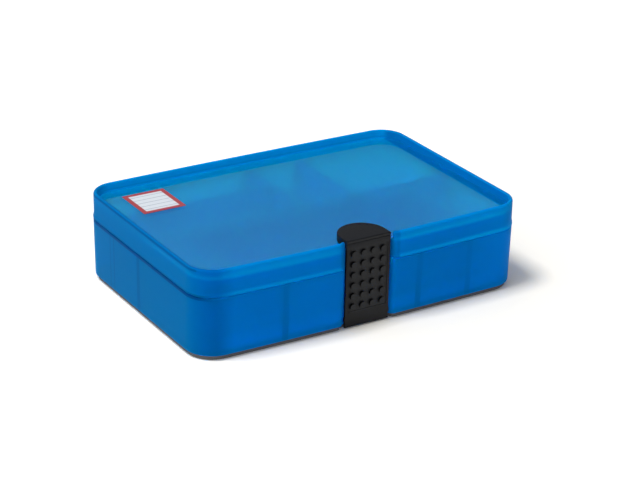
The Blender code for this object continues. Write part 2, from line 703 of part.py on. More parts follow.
def build_head(parts, tools, parent, material):
    """Hollow D-shaped head, open below, with two pegs that button through the panel."""
    top = CASE_HEIGHT - HEAD_SETDOWN
    bottom = PANEL_TOP + NOTCH_SILL + SEAT_GAP
    ceiling = top - HEAD_TOP_THICKNESS
    edge = HEAD_EDGE_RADIUS
    inner_front = RECESS_PLANE + SKIRT_THICKNESS
    levels = [(HEAD_WALL_THICKNESS, ceiling), (HEAD_WALL_THICKNESS, bottom), (0.0, bottom)]
    levels += [(edge - edge * math.cos(a), top - edge + edge * math.sin(a))
               for a in [math.pi / 2 * step / EDGE_STEPS for step in range(EDGE_STEPS + 1)]]
    rings = []
    for inset, height in levels:
        ring = [(x, y, height) for x, y in head_outline(inset)]
        if inset == HEAD_WALL_THICKNESS:
            ring = [(x, max(y, inner_front), z) for x, y, z in ring]
        rings.append(ring)
    bm = bmesh.new()
    loft(bm, rings)
    head = finish_mesh(bm, "latch_head", parts, material, parent, tuple(parent["pivot"]))

    bm = bmesh.new()
    box(bm, (-HEAD_HALF_WIDTH - CUT_OVERRUN, LATCH_PLANE - CUT_OVERRUN, PANEL_TOP - CUT_OVERRUN),
        (HEAD_HALF_WIDTH + CUT_OVERRUN, STRAP_BACK + SEAT_GAP, STRAP_TOP + SEAT_GAP / 2))
    combine(head, make_tool(bm, "head_strap_room", tools, parent), "DIFFERENCE")

    bm = bmesh.new()
    button_top = PANEL_UNDERSIDE - SEAT_GAP
    for sign in (-1, 1):
        x = sign * PEG_SPACING / 2
        y = LATCH_PLANE + PEG_SETBACK
        low = button_top - PEG_BUTTON_THICKNESS / 2
        high = ceiling + HEAD_TOP_THICKNESS / 2
        cylinder(bm, (x, y, (low + high) / 2), "Z", PEG_RADIUS, high - low, PEG_STEPS)
    combine(head, make_tool(bm, "head_pegs", tools, parent), "UNION")
    bm = bmesh.new()
    for sign in (-1, 1):
        middle = button_top - PEG_BUTTON_THICKNESS / 2
        cylinder(bm, (sign * PEG_SPACING / 2, LATCH_PLANE + PEG_SETBACK, middle), "Z",
                 PEG_BUTTON_RADIUS, PEG_BUTTON_THICKNESS, PEG_STEPS)
    combine(head, make_tool(bm, "head_peg_buttons", tools, parent), "UNION")


def studs_along(length):
    """How many studs fit along one side of the field."""
    return int((length - 2 * STUD_RADIUS) / STUD_PITCH) + 1


def build_strap(parts, tools, parent, material):
    """Strap with a sunk field of round studs, and an ear on each side near its lower end."""
    bm = bmesh.new()
    top = STRAP_TOP - SEAT_GAP / 2
    box(bm, (-HEAD_HALF_WIDTH, LATCH_PLANE, STRAP_BOTTOM), (HEAD_HALF_WIDTH, STRAP_BACK, top))
    bmesh.ops.bevel(bm, geom=bm.edges[:], offset=STRAP_EDGE_BEVEL, segments=2, profile=0.5,
                    affect="EDGES")
    strap = finish_mesh(bm, "latch_strap", parts, material, parent, tuple(parent["pivot"]))

    bm = bmesh.new()
    field = LATCH_PLANE + FIELD_DEPTH
    box(bm, (-FIELD_HALF_WIDTH, LATCH_PLANE - CUT_OVERRUN, FIELD_BOTTOM), (FIELD_HALF_WIDTH, field, FIELD_TOP))
    combine(strap, make_tool(bm, "strap_field", tools, parent), "DIFFERENCE")

    bm = bmesh.new()
    rooted = STRAP_THICKNESS / 4
    columns = studs_along(2 * FIELD_HALF_WIDTH)
    rows = studs_along(FIELD_TOP - FIELD_BOTTOM)
    first_x = -STUD_PITCH * (columns - 1) / 2
    first_z = (FIELD_TOP + FIELD_BOTTOM) / 2 - STUD_PITCH * (rows - 1) / 2
    for row in range(rows):
        for column in range(columns):
            centre = (first_x + column * STUD_PITCH, field + (rooted - STUD_HEIGHT) / 2,
                      first_z + row * STUD_PITCH)
            cylinder(bm, centre, "Y", STUD_RADIUS, STUD_HEIGHT + rooted, STUD_STEPS)
    combine(strap, make_tool(bm, "strap_studs", tools, parent), "UNION")

    bm = bmesh.new()
    middle = (0.0, (LATCH_PLANE + STRAP_BACK) / 2, EAR_HEIGHT)
    width = STRAP_THICKNESS - 2 * STRAP_EDGE_BEVEL
    reach = HEAD_HALF_WIDTH + EAR_REACH
    box(bm, (-reach, middle[1] - width / 2, EAR_HEIGHT - EAR_RADIUS),
        (reach, middle[1] + width / 2, EAR_HEIGHT + EAR_RADIUS))
    combine(strap, make_tool(bm, "strap_ears", tools, parent), "UNION")


def build_pins(parts, parent, material):
    """Hinge pins, as long as their row of knuckles."""
    length = LID_KNUCKLE_WIDTH + 2 * (KNUCKLE_WIDTH + SEAT_GAP)
    for name, middle in zip(("hinge_pin_left", "hinge_pin_right"), hinge_places()):
        bm = bmesh.new()
        pivot = (middle, HINGE_REACH, HINGE_HEIGHT)
        cylinder(bm, pivot, "X", PIN_RADIUS, length, PEG_STEPS)
        finish_mesh(bm, name, parts, material, parent, pivot)


def main():
    clear_scene()
    parts = make_collection("building_block_storage_box")
    tools = make_collection("cutters_and_joined_shapes")

    blue = make_material("translucent_blue", BLUE, 0.30, 0.0, 0.6)
    divider_blue = make_material("divider_blue", DIVIDER_BLUE, 0.35, 0.0, 0.6)
    black = make_material("black_strap", BLACK, 0.50, 0.0, 0.0)
    grey = make_material("foot_grey", DARK_GREY, 0.70, 0.0, 0.0)
    steel = make_material("pin_steel", STEEL, 0.30, 1.0, 0.0)

    case = make_empty("case_frame", parts, (0.0, 0.0, 0.0))
    lid_axis = make_empty("lid_axis", parts, (0.0, HINGE_REACH, HINGE_HEIGHT), case)
    latch_axis = make_empty("latch_axis", parts, (0.0, LATCH_PLANE, STRAP_TOP), lid_axis)

    build_foot(parts, case, grey)
    build_tray(parts, tools, case, blue)
    build_dividers(parts, tools, case, divider_blue)
    build_pins(parts, case, steel)
    build_lid(parts, tools, lid_axis, blue)
    build_head(parts, tools, lid_axis, black)
    build_strap(parts, tools, latch_axis, black)


main()
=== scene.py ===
"""Looks, light and camera for the storage box for building blocks."""

import math

import bmesh
import bpy
from mathutils import Matrix, Vector


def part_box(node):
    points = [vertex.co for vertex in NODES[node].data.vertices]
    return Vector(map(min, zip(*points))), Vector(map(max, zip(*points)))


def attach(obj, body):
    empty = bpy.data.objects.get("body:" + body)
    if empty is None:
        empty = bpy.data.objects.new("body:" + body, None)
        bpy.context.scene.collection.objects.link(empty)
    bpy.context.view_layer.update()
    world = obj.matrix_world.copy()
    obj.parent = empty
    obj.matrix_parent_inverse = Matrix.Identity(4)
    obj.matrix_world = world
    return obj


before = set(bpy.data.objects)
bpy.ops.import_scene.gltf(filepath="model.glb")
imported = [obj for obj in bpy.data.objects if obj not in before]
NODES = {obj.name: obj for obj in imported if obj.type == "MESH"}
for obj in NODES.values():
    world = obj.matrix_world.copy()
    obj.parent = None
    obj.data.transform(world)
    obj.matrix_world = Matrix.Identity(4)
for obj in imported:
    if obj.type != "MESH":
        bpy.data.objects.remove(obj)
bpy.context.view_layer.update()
MM = 0.001

# Places that the looks follow, in the frame's metres
CASE_HALF_DEPTH = 105.95 * MM
CASE_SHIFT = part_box("latch_head")[0].y + CASE_HALF_DEPTH
CASE_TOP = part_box("lid")[1].z
PANEL_DEPTH = 7.5 * MM
PANEL_THICKNESS = 2.2 * MM
PANEL_TOP = CASE_TOP - PANEL_DEPTH
PANEL_UNDERSIDE = PANEL_TOP - PANEL_THICKNESS


# Node helpers

def new_material(name):
    """A material, its node tree and its Principled shader."""
    material = bpy.data.materials.new(name)
    material.use_nodes = True
    tree = material.node_tree
    return material, tree, tree.nodes["Principled BSDF"]


def add(tree, kind, **settings):
    """Adds a node; settings name its properties, or its inputs where they start with a capital."""
    node = tree.nodes.new(kind)
    for name, value in settings.items():
        if name[0].isupper():
            node.inputs[name.replace("_", " ")].default_value = value
        else:
            setattr(node, name, value)
    return node


def feed(tree, target, value):
    """Links a socket to an input, or types a number or colour into it."""
    if isinstance(value, bpy.types.NodeSocket):
        tree.links.new(value, target)
    elif isinstance(value, tuple):
        target.default_value = (*value, 1.0)
    else:
        target.default_value = value


def calculate(tree, operation, first, second=0.0, third=0.0, clamp=False):
    """One step of arithmetic between sockets or numbers."""
    node = add(tree, "ShaderNodeMath", operation=operation, use_clamp=clamp)
    for target, value in zip(node.inputs, (first, second, third)):
        feed(tree, target, value)
    return node.outputs[0]


def map_range(tree, value, source, target=(0.0, 1.0)):
    """Value carried from one range over to another, and held at its ends."""
    node = add(tree, "ShaderNodeMapRange", From_Min=source[0], From_Max=source[1],
               To_Min=target[0], To_Max=target[1])
    feed(tree, node.inputs["Value"], value)
    return node.outputs["Result"]


def blend(tree, mask, first, second, kind="RGBA"):
    """Mix of two colours, each a socket or three numbers, or of two values with kind FLOAT."""
    node = add(tree, "ShaderNodeMix", data_type=kind)
    feed(tree, node.inputs["Factor"], mask)
    feed(tree, node.inputs["A"], first)
    feed(tree, node.inputs["B"], second)
    return node.outputs["Result"]


def split_axes(tree, vector):
    """Node that gives a vector's X, Y and Z."""
    node = add(tree, "ShaderNodeSeparateXYZ")
    feed(tree, node.inputs[0], vector)
    return node


# Effects that the materials share

CLOUD_SCALE = 14.0
GRAIN_SCALE = 900.0
GRAIN_DEPTH = 0.2 * MM


def new_group(name, inputs, outputs):
    """Shader node group with named sockets; each input has its kind and its first value."""
    group = bpy.data.node_groups.new(name, "ShaderNodeTree")
    for label, kind, value in inputs:
        socket = group.interface.new_socket(label, in_out="INPUT", socket_type=kind)
        if value is not None:
            socket.default_value = value
    for label, kind in outputs:
        group.interface.new_socket(label, in_out="OUTPUT", socket_type=kind)
    return group, group.nodes.new("NodeGroupInput"), group.nodes.new("NodeGroupOutput")


def band_group():
    """Mask that is 1 where a value lies between two limits, with soft ends."""
    numbers = [(label, "NodeSocketFloat", 0.0) for label in ("Value", "Low", "High", "Soft")]
    group, start, end = new_group("soft_band", numbers, [("Mask", "NodeSocketFloat")])
    value, low, high, soft = [start.outputs[label] for label, _, _ in numbers]
    above_low = calculate(group, "SUBTRACT", value, low)
    below_high = calculate(group, "SUBTRACT", high, value)
    rise = calculate(group, "DIVIDE", above_low, soft, clamp=True)
    fall = calculate(group, "DIVIDE", below_high, soft, clamp=True)
    feed(group, end.inputs["Mask"], calculate(group, "MULTIPLY", rise, fall))
    return group


def cloud_group():
    """Slow change between two shades, as pigment leaves it in a moulding."""
    group, start, end = new_group(
        "cloudy_pigment",
        [("Vector", "NodeSocketVector", None), ("First", "NodeSocketColor", None),
         ("Second", "NodeSocketColor", None), ("Scale", "NodeSocketFloat", CLOUD_SCALE)],
        [("Colour", "NodeSocketColor")])
    noise = add(group, "ShaderNodeTexNoise", Detail=3.0, Roughness=0.5)
    feed(group, noise.inputs["Vector"], start.outputs["Vector"])
    feed(group, noise.inputs["Scale"], start.outputs["Scale"])
    colour = blend(group, noise.outputs["Fac"], start.outputs["First"], start.outputs["Second"])
    feed(group, end.inputs["Colour"], colour)
    return group


def grain_group():
    """Fine moulded grain as a normal, and its height."""
    group, start, end = new_group(
        "moulded_grain",
        [("Vector", "NodeSocketVector", None), ("Scale", "NodeSocketFloat", GRAIN_SCALE),
         ("Strength", "NodeSocketFloat", 0.1)],
        [("Normal", "NodeSocketVector"), ("Height", "NodeSocketFloat")])
    noise = add(group, "ShaderNodeTexNoise", Detail=2.0)
    feed(group, noise.inputs["Vector"], start.outputs["Vector"])
    feed(group, noise.inputs["Scale"], start.outputs["Scale"])
    bump = add(group, "ShaderNodeBump", Distance=GRAIN_DEPTH)
    feed(group, bump.inputs["Height"], noise.outputs["Fac"])
    feed(group, bump.inputs["Strength"], start.outputs["Strength"])
    feed(group, end.inputs["Normal"], bump.outputs["Normal"])
    feed(group, end.inputs["Height"], noise.outputs["Fac"])
    return group


def inward_group():
    """Mask of the faces that look towards the middle of the lid's panel, which get painted light
    and shade of their own.
    """
    group, start, end = new_group("faces_inwards", [], [("Mask", "NodeSocketFloat")])
    where = add(group, "ShaderNodeTexCoord")
    towards = add(group, "ShaderNodeVectorMath", operation="SUBTRACT")
    towards.inputs[0].default_value = (0.0, CASE_SHIFT, PANEL_TOP)
    feed(group, towards.inputs[1], where.outputs["Object"])
    facing = add(group, "ShaderNodeVectorMath", operation="DOT_PRODUCT")
    feed(group, facing.inputs[0], towards.outputs["Vector"])
    feed(group, facing.inputs[1], where.outputs["Normal"])
    feed(group, end.inputs["Mask"], calculate(group, "GREATER_THAN", facing.outputs["Value"]))
    return group


SOFT_BAND = band_group()
FACES_INWARDS = inward_group()
CLOUDY_PIGMENT = cloud_group()
MOULDED_GRAIN = grain_group()


def use_group(tree, group, **values):
    """Adds a node group, fills its inputs and gives its outputs."""
    node = add(tree, "ShaderNodeGroup", node_tree=group)
    for label, value in values.items():
        feed(tree, node.inputs[label], value)
    return node.outputs


def region(tree, split, limits):
    """Mask of a box; limits give each axis its low end, high end and softness in millimetres."""
    mask = None
    for axis, (low, high, soft) in limits.items():
        band = use_group(tree, SOFT_BAND, Value=split.outputs[axis], Low=low * MM, High=high * MM,
                         Soft=soft * MM)["Mask"]
        mask = band if mask is None else calculate(tree, "MULTIPLY", mask, band)
    return mask


def surface(tree):
    """Object coordinates, as one vector and split by axis."""
    where = add(tree, "ShaderNodeTexCoord").outputs["Object"]
    return where, split_axes(tree, where)


def tinted(tree, split, colour, tints):
    """Colour with regions that have a colour of their own, most of them painted light and painted
    shade.
    """
    for limits, tint in tints:
        colour = blend(tree, region(tree, split, limits), colour, tint)
    return colour


def cloudy(tree, where, shades, scale=CLOUD_SCALE):
    """Colour that drifts slowly between two shades."""
    return use_group(tree, CLOUDY_PIGMENT, Vector=where, First=shades[0], Second=shades[1],
                     Scale=scale)["Colour"]


def grained(tree, shader, where, strength, scale=GRAIN_SCALE):
    """Gives the shader a fine grain, and returns the grain's height."""
    fine = use_group(tree, MOULDED_GRAIN, Vector=where, Scale=scale, Strength=strength)
    feed(tree, shader.inputs["Normal"], fine["Normal"])
    return fine["Height"]


def uneven(tree, height, level, spread):
    """Roughness that changes with the grain by a share of itself."""
    share = map_range(tree, height, (0.0, 1.0), (1.0 - spread, 1.0 + spread))
    return calculate(tree, "MULTIPLY", share, level)


# Regions of the case, in millimetres from its middle and from the table

FAR = 200.0
LEFT_SIDE = (-FAR, -146.0, 10.0)
SLOT_PITCH = 26.2
# The painted rib shade sits this far to the left of the ribs
RIB_SHADE_SHIFT = -2.0
RIB_HALF_WIDTH = 3.2


def case_region(x=None, y=None, z=None):
    """Box with a low end, a high end and a softness for each axis that is given."""
    limits = {}
    for axis, span, shift in (("X", x, 0.0), ("Y", y, CASE_SHIFT / MM), ("Z", z, 0.0)):
        if span:
            limits[axis] = (span[0] + shift, span[1] + shift, span[2])
    return limits


def front_rib_shade(column):
    """Stretch of the front wall in front of a slot's ribs, painted darker: painted shade of the
    ribs showing through.
    """
    middle = column * SLOT_PITCH + RIB_SHADE_SHIFT
    across = (middle - RIB_HALF_WIDTH, middle + RIB_HALF_WIDTH, 0.8)
    return case_region(across, (-140.0, -100.0, 1.0))


def left_rib_shade(middle, half_width):
    """Stretch of the left wall in front of a slot's ribs, painted darker: painted shade of the ribs
    showing through.
    """
    return case_region((-170.0, -150.0, 1.0), (middle - half_width, middle + half_width, 0.8))


# Tray and lid
# Left end of tray and lid, painted darker: painted shade that offsets the lamp from the left
LEFT_END_SHADE = case_region(x=(-FAR, -138.0, 14.0))
RIGHT_END = case_region(x=(95.0, FAR, 45.0))
# Near corner of tray and lid, painted darker: painted shade
NEAR_CORNER_SHADE = case_region((-FAR, -128.0, 16.0), (-FAR, -84.0, 16.0))

# Tray
WALL_FOOT = case_region(z=(0.0, 24.0, 12.0))
# Band just below the lid's lip, painted lighter: painted light over the shadow of the lid's skirt
SHOULDER_LIGHT = case_region(z=(55.0, 59.0, 3.0))
LEFT_SHADOW = case_region(LEFT_SIDE, z=(53.6, 57.8, 0.6))
# Upper tray wall, inside and at the neck, painted lighter: painted light where the lid's overlap
# shades it
MOUTH_LIGHT = case_region(z=(50.0, 90.0, 8.0))
NECK_LIGHT = case_region(z=(65.5, 72.0, 0.3))

# Lid
# Lid's lip painted lighter, more so on the right: painted light band along the lip
LIP_LIGHT = case_region(z=(56.0, 61.0, 2.0))
RIGHT_LIP_LIGHT = case_region(x=(40.0, FAR, 80.0), z=(56.0, 61.0, 2.0))
# Lower edge of the lip on the left, painted darker: painted shade against the lamp's light
LEFT_LIP_EDGE_SHADE = case_region(LEFT_SIDE, z=(56.5, 59.0, 0.6))
# Front of the lid painted lighter towards the crest: painted light
FRONT_RIM_LIGHT = case_region(y=(-FAR, -70.0, 20.0), z=(71.0, 84.0, 9.0))
# Lid's latch recess, painted darker: painted shade in the recess
LATCH_RECESS_SHADE = case_region((-30.0, 30.0, 2.0), (-130.0, -80.0, 1.0), (54.0, 83.0, 1.0))
# Crest, lighter than the lid but darker than the front rim's painted light: painted light and shade
CREST_LIGHT_AND_SHADE = case_region(z=(80.2, 83.0, 0.4))
# Outer edge of the left crest, painted darker: painted shade
LEFT_CREST_EDGE_SHADE = case_region((-FAR, -156.0, 0.6), z=(78.0, 80.3, 0.4))
# Inside of the rim, painted darker at the panel's edge and along the right end: painted shade
PANEL_FILLET_SHADE = case_region(z=(73.0, 76.0, 0.8))
RIGHT_RIM_SHADE = case_region(x=(148.0, FAR, 3.0), z=(60.0, 80.2, 0.5))
RIGHT_CREST_SHADE = case_region(x=(148.0, FAR, 3.0), z=(80.2, 84.0, 0.5))
RIGHT_FILLET_SHADE = case_region(x=(148.0, FAR, 3.0), z=(73.2, 75.0, 0.4))

# Lid's panel
# Panel painted darker in front: painted shade of the compartments seen through it
PANEL_FRONT_SHADE = case_region((-160.0, 110.0, 60.0), (-FAR, 0.0, 30.0))
PANEL_BACK_RIGHT = case_region((45.0, 160.0, 12.0), (-3.0, 80.0, 12.0))
# Panel painted lighter at the back: painted light coming through the back wall
PANEL_BACK_LIGHT = case_region(y=(80.0, 120.0, 6.0))
# Panel painted darker along its right edge: painted shade by the rim
PANEL_RIGHT_EDGE_SHADE = case_region(x=(147.0, 170.0, 1.0))
UNDERSIDE = case_region(z=(60.0, 72.4, 0.1))
UNDERSIDE_FRONT = case_region(y=(-FAR, -3.0, 4.0), z=(60.0, 72.4, 0.1))

# Dividers and latch
DIVIDER_TOPS = case_region(z=(69.0, 72.0, 0.3))
STRAP = case_region(z=(-1.0, 73.0, 0.5))
STUD_FIELD = case_region(x=(-17.0, 17.0, 0.5), z=(14.0, 73.0, 0.5))


# Finishes

BLUE_SHEEN = (0.0, 0.5, 0.9)
# Painted shade on the strap's border and on the sides of its studs
STRAP_BORDER_SHADE = (0.0005, 0.001, 0.003)
STUD_SIDE_SHADE = (0.001, 0.001, 0.001)
STUD_SIDE_SLOPE = 0.5
BLUE_UNEVENNESS = 0.1
SOLID_UNEVENNESS = 0.15
PIGMENT_SPREAD = 0.15
SOLID_CLOUD_SCALE = 60.0
SOLID_GRAIN_SCALE = 700.0


def blue_plastic(name, shades, roughness, transmission, ior, grain, tints, inward_light_and_shade=None, frosted=()):
    """Translucent blue moulding.

    Shades are its clearer and its denser colour, and tints are regions with a colour of their own,
    most of them painted light and painted shade. The inward colour, with its own tints, is that of
    the faces that look inwards: painted light and shade on the inside. Frosted are regions, each
    rougher by an amount.
    """
    material, tree, shader = new_material(name)
    where, split = surface(tree)
    colour = tinted(tree, split, cloudy(tree, where, shades), tints)
    if inward_light_and_shade:
        inwards = use_group(tree, FACES_INWARDS)["Mask"]
        colour = blend(tree, inwards, colour, tinted(tree, split, *inward_light_and_shade))
    feed(tree, shader.inputs["Base Color"], colour)
    height = grained(tree, shader, where, grain)
    level = roughness
    for limits, more in frosted:
        extra = calculate(tree, "MULTIPLY", region(tree, split, limits), more)
        level = calculate(tree, "ADD", extra, level)
    feed(tree, shader.inputs["Roughness"], uneven(tree, height, level, BLUE_UNEVENNESS))
    shader.inputs["IOR"].default_value = ior
    shader.inputs["Transmission Weight"].default_value = transmission
    feed(tree, shader.inputs["Specular Tint"], BLUE_SHEEN)
    return material


def studded(tree, split, shade):
    """Painted shade: a darker border round the strap's field, and near-black sides of its studs."""
    slope = split_axes(tree, add(tree, "ShaderNodeTexCoord").outputs["Normal"])
    upright = calculate(tree, "ABSOLUTE", slope.outputs["Y"])
    sideways = calculate(tree, "LESS_THAN", upright, STUD_SIDE_SLOPE)
    field = region(tree, split, STUD_FIELD)
    border = calculate(tree, "SUBTRACT", region(tree, split, STRAP), field, clamp=True)
    shade = blend(tree, border, shade, STRAP_BORDER_SHADE)
    return blend(tree, calculate(tree, "MULTIPLY", sideways, field), shade, STUD_SIDE_SHADE)


def solid_finish(name, colour, roughness, metallic, grain, specular=0.5, shading=None):
    """Opaque moulding or metal; shading is a function that changes its colour by place."""
    material, tree, shader = new_material(name)
    where, split = surface(tree)
    shades = [tuple(part * (1.0 + spread) for part in colour)
              for spread in (-PIGMENT_SPREAD, PIGMENT_SPREAD)]
    shade = cloudy(tree, where, shades, SOLID_CLOUD_SCALE)
    if shading:
        shade = shading(tree, split, shade)
    feed(tree, shader.inputs["Base Color"], shade)
    height = grained(tree, shader, where, grain, SOLID_GRAIN_SCALE)
    feed(tree, shader.inputs["Roughness"], uneven(tree, height, roughness, SOLID_UNEVENNESS))
    shader.inputs["Metallic"].default_value = metallic
    shader.inputs["Specular IOR Level"].default_value = specular
    return material


tray_blue = blue_plastic(
    "tray_blue", shades=((0.0, 0.25, 0.665), (0.0, 0.24, 0.635)),
    roughness=0.4, transmission=0.5, ior=1.05, grain=0.02,
    tints=((WALL_FOOT, (0.0, 0.27, 0.76)),
           (RIGHT_END, (0.0, 0.27, 0.72)),
           (LEFT_END_SHADE, (0.0, 0.205, 0.48)),
           (NEAR_CORNER_SHADE, (0.0, 0.165, 0.48)),
           (front_rib_shade(-3), (0.0, 0.228, 0.62)),
           (front_rib_shade(2), (0.0, 0.226, 0.61)),
           (front_rib_shade(4), (0.0, 0.235, 0.635)),
           (left_rib_shade(2.0, 3.0), (0.0, 0.16, 0.40)),
           (left_rib_shade(48.0, 1.2), (0.0, 0.16, 0.40)),
           (left_rib_shade(55.0, 1.2), (0.0, 0.16, 0.40)),
           (SHOULDER_LIGHT, (0.0, 0.37, 0.86)),
           (LEFT_SHADOW, (0.0, 0.09, 0.28)),
           (NECK_LIGHT, (0.0, 0.38, 1.0))),
    inward_light_and_shade=((0.0, 0.48, 1.0), ((MOUTH_LIGHT, (0.0, 0.80, 1.0)),
                              (NECK_LIGHT, (0.0, 0.38, 1.0)))))

lid_blue = blue_plastic(
    "lid_blue", shades=((0.0, 0.28, 0.78), (0.0, 0.27, 0.75)),
    roughness=0.4, transmission=0.5, ior=1.05, grain=0.02,
    tints=((RIGHT_END, (0.0, 0.31, 0.78)),
           (LIP_LIGHT, (0.0, 0.42, 0.87)),
           (RIGHT_LIP_LIGHT, (0.0, 0.50, 0.94)),
           (FRONT_RIM_LIGHT, (0.0, 0.40, 0.81)),
           (CREST_LIGHT_AND_SHADE, (0.0, 0.34, 0.80)),
           (LEFT_END_SHADE, (0.0, 0.215, 0.545)),
           (NEAR_CORNER_SHADE, (0.0, 0.185, 0.59)),
           (LATCH_RECESS_SHADE, (0.0, 0.22, 0.62)),
           (LEFT_LIP_EDGE_SHADE, (0.0, 0.16, 0.42)),
           (LEFT_CREST_EDGE_SHADE, (0.0, 0.13, 0.38))),
    inward_light_and_shade=((0.0, 0.32, 0.80), ((PANEL_FILLET_SHADE, (0.0, 0.25, 0.68)),
                               (RIGHT_RIM_SHADE, (0.0, 0.18, 0.56)),
                               (RIGHT_CREST_SHADE, (0.0, 0.22, 0.60)),
                               (RIGHT_FILLET_SHADE, (0.0, 0.15, 0.47)),
                               (LEFT_END_SHADE, (0.0, 0.21, 0.56)))))

panel_blue = blue_plastic(
    "panel_blue", shades=((0.0, 0.78, 1.0), (0.0, 0.76, 0.99)),
    roughness=0.04, transmission=0.92, ior=1.33, grain=0.004,
    tints=((PANEL_FRONT_SHADE, (0.0, 0.65, 0.91)),
           (PANEL_BACK_RIGHT, (0.0, 0.77, 0.94)),
           (PANEL_BACK_LIGHT, (0.0, 0.84, 1.0)),
           (PANEL_RIGHT_EDGE_SHADE, (0.0, 0.52, 0.80))),
    frosted=((UNDERSIDE, 0.25), (UNDERSIDE_FRONT, 0.27)))

divider_blue = blue_plastic(
    "divider_blue", shades=((0.0, 0.32, 1.0), (0.0, 0.31, 0.98)),
    roughness=0.2, transmission=0.6, ior=1.15, grain=0.02,
    tints=((DIVIDER_TOPS, (0.0, 0.33, 0.73)),))

latch_black = solid_finish(
    "latch_black", (0.0066, 0.0078, 0.0108), roughness=0.45, metallic=0.0, grain=0.15,
    specular=0.25, shading=studded)
# Dark grey foot ring; its dark colour is partly painted contact shadow along the bottom edge
foot_grey = solid_finish(
    "foot_grey", (0.10, 0.098, 0.10), roughness=0.7, metallic=0.0, grain=0.2)
pin_steel = solid_finish(
    "pin_steel", (0.6, 0.6, 0.62), roughness=0.3, metallic=1.0, grain=0.05)


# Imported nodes

WELD_DISTANCE = 0.01 * MM
SHARP_ANGLE = math.radians(32)
PANEL_MARGIN = 0.5 * MM
PANEL_SLOPE = 0.99


def new_modifier_group(name):
    """Geometry node group that takes and returns geometry."""
    group = bpy.data.node_groups.new(name, "GeometryNodeTree")
    group.interface.new_socket("Geometry", in_out="INPUT", socket_type="NodeSocketGeometry")
    group.interface.new_socket("Geometry", in_out="OUTPUT", socket_type="NodeSocketGeometry")
    return group, group.nodes.new("NodeGroupInput"), group.nodes.new("NodeGroupOutput")


def chain(group, *nodes):
    """Passes the geometry from each node on to the next."""
    for first, second in zip(nodes, nodes[1:]):
        feed(group, second.inputs["Geometry"], first.outputs["Geometry"])


def smooth_group():
    """Shades all but the sharp edges smooth."""
    group, start, end = new_modifier_group("smooth_but_sharp_edges")
    faces = add(group, "GeometryNodeSetShadeSmooth")
    edges = add(group, "GeometryNodeSetShadeSmooth", domain="EDGE")
    angle = add(group, "GeometryNodeInputMeshEdgeAngle").outputs["Unsigned Angle"]
    low = add(group, "FunctionNodeCompare", data_type="FLOAT", operation="LESS_THAN", B=SHARP_ANGLE)
    feed(group, low.inputs["A"], angle)
    feed(group, edges.inputs["Shade Smooth"], low.outputs["Result"])
    chain(group, start, faces, edges, end)
    return group


def panel_group(material):
    """Gives the lid's flat panel, above and below, a finish of its own and level shading."""
    group, start, end = new_modifier_group("panel_faces")
    heights = split_axes(group, add(group, "GeometryNodeInputPosition").outputs["Position"])
    slopes = split_axes(group, add(group, "GeometryNodeInputNormal").outputs["Normal"])
    middle = (PANEL_TOP + PANEL_UNDERSIDE) / 2
    reach = PANEL_THICKNESS / 2 + PANEL_MARGIN
    near = calculate(group, "COMPARE", heights.outputs["Z"], middle, reach)
    steepness = calculate(group, "ABSOLUTE", slopes.outputs["Z"])
    level = calculate(group, "GREATER_THAN", steepness, PANEL_SLOPE)
    both = calculate(group, "MULTIPLY", near, level)
    flat = add(group, "GeometryNodeSetShadeSmooth", Shade_Smooth=False)
    finish = add(group, "GeometryNodeSetMaterial", Material=material)
    feed(group, flat.inputs["Selection"], both)
    feed(group, finish.inputs["Selection"], both)
    chain(group, start, flat, finish, end)
    return group


SMOOTH = smooth_group()
PANEL_FACES = panel_group(panel_blue)


def dress(node, material):
    """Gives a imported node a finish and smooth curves."""
    item = NODES[node]
    item.data.materials.clear()
    item.data.materials.append(material)
    weld = item.modifiers.new("weld", "WELD")
    weld.merge_threshold = WELD_DISTANCE
    item.modifiers.new("smooth", "NODES").node_group = SMOOTH
    if node == "lid":
        item.modifiers.new("panel", "NODES").node_group = PANEL_FACES


def dress_all():
    """Finishes by the start of each node's name."""
    finishes = {"divider": divider_blue, "hinge_pin": pin_steel, "latch": latch_black,
                "foot": foot_grey, "lid": lid_blue, "base": tray_blue}
    for name in NODES:
        for start, material in finishes.items():
            if name.startswith(start):
                dress(name, material)


# Write-on label, with its frame and ruled lines in millimetres

LABEL_LOW = (-133.8 * MM, 41.1 * MM + CASE_SHIFT)
LABEL_SIZE = (40.4 * MM, 44.0 * MM)
LABEL_THICKNESS = 0.12 * MM
LABEL_GAP = 0.02 * MM
LABEL_CORNER = 0.8 * MM
LABEL_FRAME = 4.2
LABEL_LINE_PITCH = 7.0
LABEL_LINE_HALF = 0.45
LABEL_PRINT_SOFT = 0.15
LABEL_ROUGHNESS = 0.5
LABEL_GRAIN = 0.05
LABEL_GRAIN_SCALE = 2500.0
PAPER_CLOUD_SCALE = 120.0
FRAME_CLOUD_SCALE = 90.0
PAPER_SHADES = ((0.62, 0.66, 0.70), (0.56, 0.60, 0.66))
FRAME_SHADES = ((0.36, 0.052, 0.057), (0.33, 0.046, 0.053))
LINE_GREY = (0.25, 0.30, 0.38)


